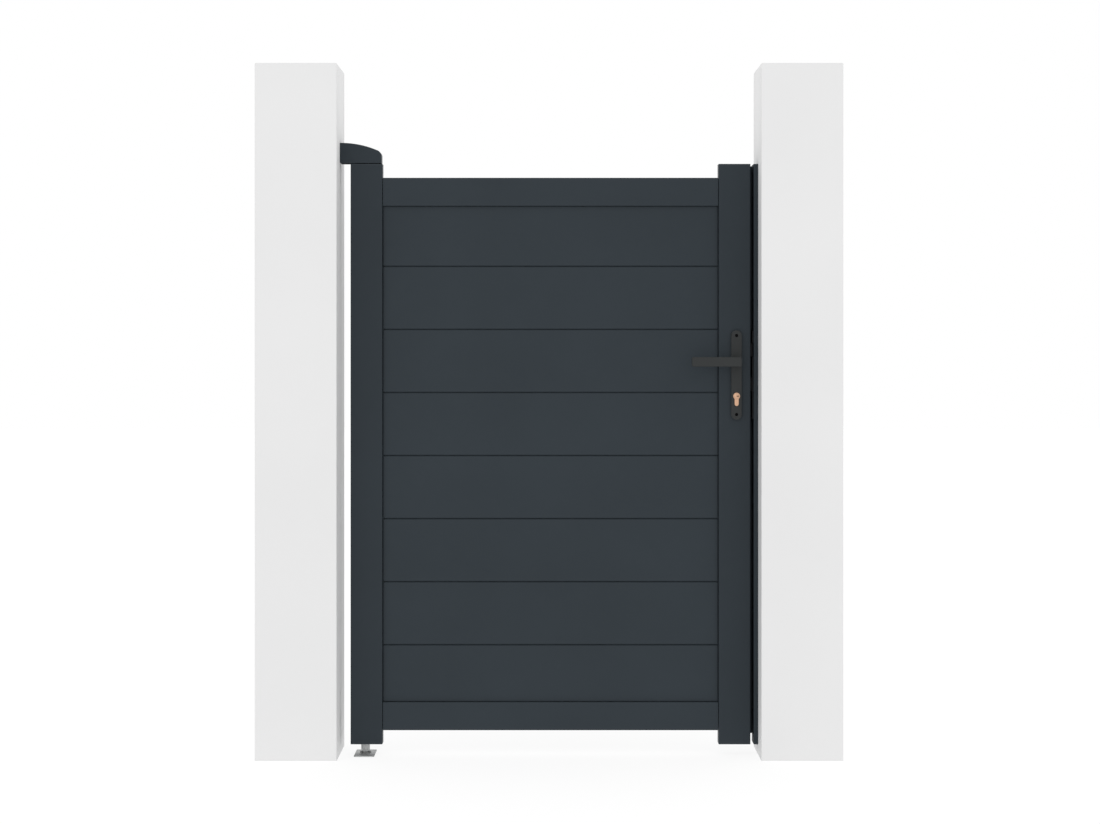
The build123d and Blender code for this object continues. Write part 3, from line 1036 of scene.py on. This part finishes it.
class GATE_OT_seal(bpy.types.Operator):
    """Ribbed rubber seal on the stop's lip"""

    bl_idname = "gate.seal"
    bl_label = "Seal"

    def execute(self, context):
        ribs = context.scene.gate_fixings.seal_ribs
        low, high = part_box("stop_seal")
        radius = (high.x - low.x) / (2 * ribs)
        foot = low.y + radius
        if foot >= high.y:
            raise RuntimeError("The seal needs more ribs to fit its height")
        mesh = bmesh.new()
        first = mesh.verts.new((low.x, foot, low.z))
        tip = first
        for index in range(ribs):
            centre = (low.x + (2 * index + 1) * radius, foot, low.z)
            tip = swing_round(mesh, tip, centre, math.pi, RIB_STEPS)
        tip = go_to(mesh, tip, (high.x, high.y, low.z))
        tip = go_to(mesh, tip, (low.x, high.y, low.z))
        outline = close_outline(mesh, first, tip)
        far = draw_out(mesh, outline, high.z - low.z)
        for end in (outline, far):
            bmesh.ops.contextual_create(mesh, geom=end)
        piece = add_piece("ribbed_seal", mesh, ("seal rubber",), "posts")
        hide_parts("stop_seal")
        return {"FINISHED"}


class GATE_OT_handle_screws(bpy.types.Operator):
    """Screws sunk in the holes of both handle plates"""

    bl_idname = "gate.handle_screws"
    bl_label = "Handle screws"

    def execute(self, context):
        sizes = context.scene.gate_fixings
        mesh = bmesh.new()
        for name, side in HANDLE_SIDES:
            low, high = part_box(name)
            middle = node_middle(name)
            inset = (high.x - low.x) / 2
            y = plate_face(name, side) - side * (sizes.head_height + sizes.screw_sink)
            for z in (low.z + inset, high.z - inset):
                seat = (middle.x, y, z)
                hexagon_screw(mesh, seat, (0, side, 0), sizes.screw_radius, sizes.head_height)
        add_piece("handle_screws", mesh, ("black screws and keyway shade",), "leaf")
        return {"FINISHED"}


class GATE_OT_lock_screws(bpy.types.Operator):
    """Screws of the lock's faceplate, of the strike plate and of the stop"""

    bl_idname = "gate.lock_screws"
    bl_label = "Lock and stop screws"

    def execute(self, context):
        sizes = context.scene.gate_fixings
        height = sizes.head_height
        margin = LOCK_SCREW_INSET * sizes.lock_screw_radius
        plate_low, plate_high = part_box("lock_faceplate")
        mesh = bmesh.new()
        for z in (plate_low.z + margin, plate_high.z - margin, node_middle("lock_cylinder").z):
            hexagon_screw(mesh, (plate_high.x, 0, z), (1, 0, 0), sizes.lock_screw_radius, height)
        add_piece("faceplate_screws", mesh, ("black screws and keyway shade",), "leaf")
        strike_low, strike_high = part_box("strike_plate")
        mesh = bmesh.new()
        for z in (strike_low.z + margin, strike_high.z - margin):
            hexagon_screw(mesh, (strike_low.x, 0, z), (-1, 0, 0), sizes.lock_screw_radius, height)
        stop_low, stop_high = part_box("stop_profile")
        first, last = stop_low.z + STOP_SCREW_INSET, stop_high.z - STOP_SCREW_INSET
        step = (last - first) / (sizes.stop_screw_count - 1)
        for index in range(sizes.stop_screw_count):
            z = first + index * step
            if strike_low.z - margin < z < strike_high.z + margin:
                continue
            hexagon_screw(mesh, (strike_high.x, 0, z), (-1, 0, 0), sizes.stop_screw_radius, height)
        add_piece("stop_screws", mesh, ("black screws and keyway shade",), "posts")
        return {"FINISHED"}


class GATE_OT_anchors(bpy.types.Operator):
    """Sunk anchor screws in the ground plate"""

    bl_idname = "gate.anchors"
    bl_label = "Ground anchors"

    def execute(self, context):
        sizes = context.scene.gate_fixings
        low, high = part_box("ground_pivot_plate")
        middle = Vector(ANCHOR_HOLES["pos_m"])
        height = high.z - low.z - ANCHOR_SINK
        mesh = bmesh.new()
        for side in (-1, 1):
            seat = (middle.x, middle.y + side * sizes.anchor_spacing / 2, low.z)
            hexagon_screw(mesh, seat, (0, 0, 1), sizes.anchor_radius, height)
        add_piece("ground_anchors", mesh, ("zinc",), "posts")
        return {"FINISHED"}


class GATE_OT_collars(bpy.types.Operator):
    """Collars round the lever necks"""

    bl_idname = "gate.collars"
    bl_label = "Neck collars"

    def execute(self, context):
        sizes = context.scene.gate_fixings
        axis = joint_point("lever_turn")
        outer = sizes.neck_radius + sizes.collar_width
        mesh = bmesh.new()
        for name, side in HANDLE_SIDES:
            place = aim((axis.x, plate_face(name, side), axis.z), (0, side, 0))
            turned_ring(mesh, place, sizes.neck_radius, outer, sizes.head_height, RING_EDGE)
        add_piece("neck_collars", mesh, ("handle coat",), "leaf")
        return {"FINISHED"}


class GATE_OT_stage(bpy.types.Operator):
    """Floor, light and camera"""

    bl_idname = "gate.stage"
    bl_label = "Stage"

    def execute(self, context):
        stage = context.scene.gate_stage
        make_floor(stage)
        make_surroundings(stage)
        make_lamp(stage)
        make_camera(stage)
        context.scene.view_settings.view_transform = "Standard"
        return {"FINISHED"}


class GATE_PT_panel(bpy.types.Panel):
    """Lists the gate's steps and settings"""

    bl_label = "Pedestrian gate"
    bl_idname = "GATE_PT_panel"
    bl_space_type = "VIEW_3D"
    bl_region_type = "UI"
    bl_category = "Gate"

    def draw(self, context):
        for operator in OPERATORS:
            self.layout.operator(operator.bl_idname)
        for name, group in SETTINGS.items():
            box = self.layout.box()
            for setting in group.__annotations__:
                box.prop(getattr(context.scene, name), setting)


OPERATORS = (
    GATE_OT_finishes,
    GATE_OT_cylinder,
    GATE_OT_seal,
    GATE_OT_handle_screws,
    GATE_OT_lock_screws,
    GATE_OT_anchors,
    GATE_OT_collars,
    GATE_OT_stage,
)
SETTINGS = {
    "gate_finishes": GateFinishSettings,
    "gate_fixings": GateFixingSettings,
    "gate_stage": GateStageSettings,
}
CLASSES = (*SETTINGS.values(), *OPERATORS, GATE_PT_panel)


def register():
    for cls in CLASSES:
        bpy.utils.register_class(cls)
    for name, group in SETTINGS.items():
        setattr(bpy.types.Scene, name, bpy.props.PointerProperty(type=group))


def unregister():
    for name in SETTINGS:
        delattr(bpy.types.Scene, name)
    for cls in reversed(CLASSES):
        bpy.utils.unregister_class(cls)


def main():
    register()
    for operator in OPERATORS:
        group, name = operator.bl_idname.split(".")
        getattr(getattr(bpy.ops, group), name)()


if __name__ == "__main__":
    main()
